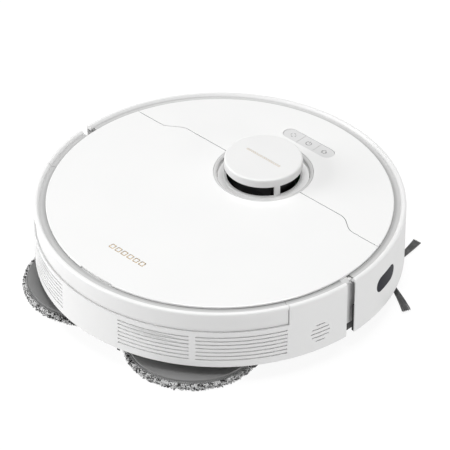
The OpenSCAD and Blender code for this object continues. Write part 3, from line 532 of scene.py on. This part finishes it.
def pile_loop(mesh, root, outward, half, depth, shade):
    """One short loop of the pile, which hangs from the cloth."""
    points = []
    steps = 5
    for i in range(steps + 1):
        t = i / steps
        points.append(root + outward * half * math.cos(math.pi * t) * -1
                      + Vector((0, 0, -depth * math.sin(math.pi * t))))
    tube(mesh, points, YARN, 4, shade)


def add_cloth(mesh, centre, cloth, top):
    """The round cloth, with a bulging edge."""
    under_top = top - 0.1 * MM
    profile = [(0, CLOTH_FOOT), (cloth - 3 * MM, CLOTH_FOOT), (cloth - 0.4 * MM, CLOTH_FOOT + 0.4 * MM),
               (cloth + 0.6 * MM, CLOTH_FOOT + 1.4 * MM), (cloth, top - 0.9 * MM),
               (cloth - 1.2 * MM, top - 0.25 * MM), (cloth - 3 * MM, under_top), (0, under_top)]
    turned(mesh, profile, centre, 160)


def add_stitches(mesh, centre, cloth, top):
    """Small slanted stitches that wrap the edge of the cloth."""
    for i in range(STITCHES):
        start = 2 * math.pi * i / STITCHES
        end = 2 * math.pi * (i + 0.75) / STITCHES
        points = []
        for t in (0, 0.25, 0.5, 0.75, 1):
            angle = start + (end - start) * t
            radius = cloth + (2 * t - 1.6) * MM
            height = top - 0.1 * MM + 0.45 * MM * math.sin(math.pi * t) - 0.9 * MM * t * t
            points.append(centre + Vector((radius * math.cos(angle), radius * math.sin(angle), height)))
        tube(mesh, points, STITCH_RADIUS, 5, 2)


def add_fringe(mesh, centre, cloth, rng):
    """Rows of small curly loops at random angles round the edge, in three shades."""
    for row in range(FRINGE_ROWS):
        for i in range(FRINGE_YARNS):
            angle = 2 * math.pi * (i + row / FRINGE_ROWS + rng.uniform(-0.4, 0.4)) / FRINGE_YARNS
            inset = rng.uniform(-1.4, 0.9) * MM
            root = Vector((math.cos(angle), math.sin(angle), 0)) * (cloth + inset)
            start = centre + root + Vector((0, 0, FRINGE_TOP - FRINGE_ROW_DROP * row))
            lean = angle + rng.uniform(-1.2, 1.2)
            outward = Vector((math.cos(lean), math.sin(lean), 0))
            across = Vector((-outward.y, outward.x, 0))
            length = (FRINGE_WIDTH - inset) * rng.uniform(0.7, 0.93)
            curl = Vector((rng.uniform(-1, 1), rng.uniform(-0.8, 0.8), rng.uniform(-1.2, 0.9))) * MM
            spread = rng.uniform(0.4, 0.8) * MM
            room = start.z - YARN - 0.1 * MM
            shade = rng.choices(YARN_SHADES, (0.6, 0.1, 0.3))[0]
            loop_of_yarn(mesh, start, outward, across, length - YARN, spread, curl, room, shade)


def add_pile(mesh, centre, cloth, rng):
    """Rings of short loops under the cloth, which reach the floor."""
    for ring in range(PILE_RINGS):
        radius = (ring + 0.6) * cloth / PILE_RINGS
        count = max(6, int(2 * math.pi * radius / PILE_SPACING))
        for i in range(count):
            angle = 2 * math.pi * (i + rng.uniform(-0.25, 0.25) + ring / 2) / count
            outward = Vector((math.cos(angle), math.sin(angle), 0))
            turn = Matrix.Rotation(rng.uniform(-0.9, 0.9), 3, "Z")
            root = centre + outward * radius + Vector((0, 0, PILE_ROOT))
            half = rng.uniform(1.2, 1.9) * MM
            depth = PILE_DEPTH + rng.uniform(-0.3, 0) * MM
            shade = rng.choices(YARN_SHADES, (0.4, 0.2, 0.4))[0]
            pile_loop(mesh, root, turn @ outward, half, depth, shade)


def make_mop_pad(side, seed):
    """Round mop pad: cloth top, stitched edge, looped fringe and a looped pile underneath."""
    node = "mop_pad_" + side
    low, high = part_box(node)
    centre = Vector(((low.x + high.x) / 2, (low.y + high.y) / 2, 0))
    cloth = (high.x - low.x) / 2 - FRINGE_WIDTH
    rng = random.Random(seed)
    mesh = bmesh.new()
    add_cloth(mesh, centre, cloth, high.z)
    add_stitches(mesh, centre, cloth, high.z)
    add_fringe(mesh, centre, cloth, rng)
    add_pile(mesh, centre, cloth, rng)
    pad = keep(mesh, "looped_pad_" + side, side + "_mop", "mop_fabric",
               FINISHES["mop_fabric"], YARNS["pale"], YARNS["mid"], YARNS["dark"])
    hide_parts(node)


BRUSH_REACH = 61 * MM
FIRST_ARM = -24                              # degrees, from the robot's right
BRISTLES = 64                                # in each bundle
BRISTLE_RADIUS = 0.2 * MM
BUNDLE_ROOT = 16 * MM                        # from the hub's middle
BUNDLE_BEND = (-3.0 * MM, 2.5 * MM, 1.0 * MM)
BUNDLE_DROP = 0.5 * MM


def brush_arms():
    """Direction of each arm of the side brush, and the direction across it."""
    for i in range(3):
        angle = math.radians(FIRST_ARM + 120 * i)
        out = Vector((math.cos(angle), math.sin(angle), 0))
        yield out, Vector((-out.y, out.x, 0))


def make_side_brush():
    """Side brush: moulded hub with three stubs, each holding a flared bundle of bristles."""
    low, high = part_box("side_brush")
    joint = next(j for j in frame["joints"] if j["name"] == "side_brush_spin")
    centre = Vector((joint["pos_m"][0], joint["pos_m"][1], 0))
    make_brush_hub(centre, low.z, high.z)
    make_bristles(centre, low.z)


def make_brush_hub(centre, base, top):
    hub = bmesh.new()
    shell = ((0, 0), (6.4, 0), (8, 0.5), (8.6, 2), (8.6, 3.4), (7.2, 4.4), (6.6, 8), (6, 9), (0, 9))
    turned(hub, [(radius * MM, base + height * MM) for radius, height in shell], centre, 48)
    # a raised ring round the screw
    below = base - 0.35 * MM
    turned(hub, [(3.4 * MM, base), (3.4 * MM, below), (2.6 * MM, below), (2.6 * MM, base)], centre, 32)
    for out, across in brush_arms():
        stub(hub, centre, out, across, base)
    # the shaft that plugs into the gearbox
    shaft = 3 * MM
    foot = base + 8.6 * MM
    bevel = 0.4 * MM
    turned(hub, [(0, foot), (shaft, foot), (shaft, top - bevel), (shaft - bevel, top), (0, top)], centre, 24)
    piece = keep(hub, "side_brush_hub", "side_sweeper", "sweep_arm", FINISHES["sweep_arm"])
    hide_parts("side_brush")


def make_bristles(centre, base):
    rng = random.Random(5)
    tufts = bmesh.new()
    for (out, across), bend in zip(brush_arms(), BUNDLE_BEND):
        for k in range(BRISTLES):
            share = (k + 0.5) / BRISTLES * 2 - 1
            layer = (k % 4 - 1.5) * 0.38 * MM
            root = (centre + out * BUNDLE_ROOT + across * share * 1.7 * MM
                    + Vector((0, 0, base + 1.6 * MM + layer)))
            length = BRUSH_REACH - BUNDLE_ROOT - rng.uniform(0, 1.6) * MM
            fan = share * 2.6 * MM + rng.uniform(-0.25, 0.25) * MM
            points = [root + out * length * t + across * (fan * t ** 1.3 + bend * t * t)
                      + Vector((0, 0, -BUNDLE_DROP * t * t)) for t in (0, 0.25, 0.5, 0.75, 1)]
            tube(tufts, points, BRISTLE_RADIUS, 4)
    keep(tufts, "side_brush_bristles", "side_sweeper", "sweep_arm", BRISTLE)


def stub(mesh, centre, out, across, base):
    """A short tapered arm of the hub, from which a bundle of bristles leaves."""
    sections = ((6, 3.4, 1.7), (12, 2.9, 1.5), (18, 2.5, 1.35), (21, 2.2, 1.2))
    sides = 12
    rings = []
    for place, half, thick in sections:
        middle_point = centre + out * place * MM + Vector((0, 0, base + 1.8 * MM))
        ring = []
        for k in range(sides):
            t = 2 * math.pi * k / sides
            ring.append(mesh.verts.new(middle_point + across * half * MM * math.cos(t)
                                       + Vector((0, 0, thick * MM * math.sin(t)))))
        rings.append(ring)
    for ring, following in zip(rings, rings[1:]):
        for k in range(sides):
            n = (k + 1) % sides
            mesh.faces.new((ring[k], ring[n], following[n], following[k]))
    mesh.faces.new(rings[0][::-1])
    mesh.faces.new(rings[-1])


def flat_band(mesh, points, width, thick):
    """A thin printed line along points on a level surface, with a little body."""
    left, right = [], []
    for i, point in enumerate(points):
        before = points[max(i - 1, 0)]
        after = points[min(i + 1, len(points) - 1)]
        along = (after - before).normalized()
        across = Vector((-along.y, along.x, 0)) * width / 2
        left.append(point + across)
        right.append(point - across)
    up = Vector((0, 0, thick))
    rows = [[mesh.verts.new(p) for p in (a, b, b + up, a + up)] for a, b in zip(left, right)]
    for row, following in zip(rows, rows[1:]):
        for k in range(4):
            mesh.faces.new((row[k], following[k], following[(k + 1) % 4], row[(k + 1) % 4]))
    mesh.faces.new(rows[0])
    mesh.faces.new(rows[-1][::-1])


def arc_points(centre, radius, start, end, steps=14):
    return [centre + Vector((radius * math.cos(t), radius * math.sin(t), 0))
            for t in (math.radians(start + (end - start) * i / steps) for i in range(steps + 1))]


PRINT_WIDTH = 0.75 * MM
PRINT_THICK = 0.05 * MM


def make_icons():
    """The plain symbols on the three buttons: spot, power and home."""
    top = Vector((0, 0, -PRINT_THICK * 0.2))
    spot = bmesh.new()
    centre = icon_place("button_spot", 0.5 * MM) + top
    for start in (-22, 68, 158, 248):
        flat_band(spot, arc_points(centre, 2.6 * MM, start, start + 44, 6), PRINT_WIDTH, PRINT_THICK)
    keep(spot, "icon_spot", "spot_key", "button_white", PRINT)
    power = bmesh.new()
    centre = icon_place("button_power", 0) + top
    flat_band(power, arc_points(centre, 2.8 * MM, 125, 415, 24), PRINT_WIDTH, PRINT_THICK)
    flat_band(power, [centre + Vector((0, 0.4 * MM, 0)), centre + Vector((0, 3.2 * MM, 0))],
              PRINT_WIDTH, PRINT_THICK)
    keep(power, "icon_power", "power_key", "button_white", PRINT)
    home = bmesh.new()
    centre = icon_place("button_dock", -0.5 * MM) + top
    outline = [(-2, 0.4), (-2, -2.2), (2, -2.2), (2, 0.4)]
    roof = [(-2.9, -0.2), (0, 2.6), (2.9, -0.2)]
    for shape in (outline, roof):
        flat_band(home, [centre + Vector((x * MM, y * MM, 0)) for x, y in shape], PRINT_WIDTH, PRINT_THICK)
    keep(home, "icon_home", "dock_key", "button_white", PRINT)


def icon_place(node, shift):
    """The middle of a button's top, shifted sideways."""
    low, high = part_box(node)
    return Vector(((low.x + high.x) / 2 + shift, (low.y + high.y) / 2, high.z))


def row_of_squares(mesh, start, length, count, height, line, thick):
    """A row of small open squares, standing for a printed word."""
    filled = 0.62                            # of the pitch
    pitch = length / (count - 1 + filled)
    for i in range(count):
        corner = start + Vector((i * pitch, 0, 0))
        wide, high = Vector((filled * pitch, 0, 0)), Vector((0, height, 0))
        flat_band(mesh, [corner, corner + high], line, thick)
        flat_band(mesh, [corner + wide, corner + wide + high], line, thick)
        flat_band(mesh, [corner, corner + wide], line, 0.8 * thick)
        flat_band(mesh, [corner + high, corner + high + wide], line, 0.8 * thick)


def make_gold_marks():
    """Plain gold squares on the lid and on the turret, with no lettering."""
    lid_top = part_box("rear_lid")[1].z
    marks = bmesh.new()
    start = Vector((-22 * MM, -124 * MM, lid_top))
    row_of_squares(marks, start, 43 * MM, 6, 5.2 * MM, 0.9 * MM, 0.04 * MM)
    keep(marks, "gold_marks_lid", "lid", "white_gloss", GOLD)
    centre = middle("turret_cap")
    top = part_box("turret_cap")[1].z
    marks = bmesh.new()
    start = Vector((-21 * MM, centre.y - 1.1 * MM, top))
    row_of_squares(marks, start, 42 * MM, 15, 2 * MM, 0.3 * MM, 0.03 * MM)
    keep(marks, "gold_marks_turret", "cap", "white_satin", GOLD)


# ---------------------------------------------------------------- stage

def make_floor():
    mesh = bmesh.new()
    bmesh.ops.create_grid(mesh, x_segments=1, y_segments=1, size=6)
    data = bpy.data.meshes.new("floor")
    mesh.to_mesh(data)
    mesh.free()
    floor = bpy.data.objects.new("floor", data)
    bpy.context.scene.collection.objects.link(floor)
    floor.location.z = -0.1 * MM
    f = Finish("pale_floor")
    ledge_painted_shade = f.noise(0.4, 2)
    f.set(Base_Color=f.mix(ledge_painted_shade, 0.10, 0.12), Roughness=0.9, Specular_IOR_Level=0.1,
          Emission_Color=(1, 1, 1, 1), Emission_Strength=0.92)
    data.materials.append(f.material)


def softbox(name, azimuth, elevation, distance, size, power, shade=(1, 1, 1)):
    """A square area light that looks at the robot; azimuth 0 is behind it, 90 on its right."""
    a, e = math.radians(azimuth), math.radians(elevation)
    back = Vector((math.sin(a) * math.cos(e), -math.cos(a) * math.cos(e), math.sin(e)))
    data = bpy.data.lights.new(name, "AREA")
    data.shape = "SQUARE"
    data.size = size
    data.energy = power
    data.color = shade
    lamp = bpy.data.objects.new(name, data)
    bpy.context.scene.collection.objects.link(lamp)
    lamp.location = back * distance + Vector((0, 0, 0.05))
    lamp.rotation_euler = (-back).to_track_quat("-Z", "Y").to_euler()


def make_light():
    world = bpy.data.worlds.new("studio")
    bpy.context.scene.world = world
    world.use_nodes = True
    background = world.node_tree.nodes["Background"]
    background.inputs["Color"].default_value = (1, 1, 1, 1)
    background.inputs["Strength"].default_value = 0.08
    softbox("top_box", 150, 86, 2.2, 1.5, 49)
    softbox("right_box", 84, 7, 2.4, 1.1, 17)
    softbox("left_box", -46, 17, 2.4, 1.4, 43)
    bpy.context.scene.view_settings.view_transform = "Standard"


make_camera()
YARNS = {"pale": twisted_yarn("yarn_pale", 0.7, 0.86), "mid": twisted_yarn("yarn_mid", 0.3, 0.42),
         "dark": twisted_yarn("yarn_dark", 0.012, 0.03)}
BRISTLE = rubber("bristle", 0.12, 0.2, 0.45)
PRINT = printed_grey()
GOLD = gold_foil()
finish_nodes()
make_mop_pad("left", 11)
make_mop_pad("right", 12)
make_side_brush()
make_icons()
make_gold_marks()
make_floor()
make_light()
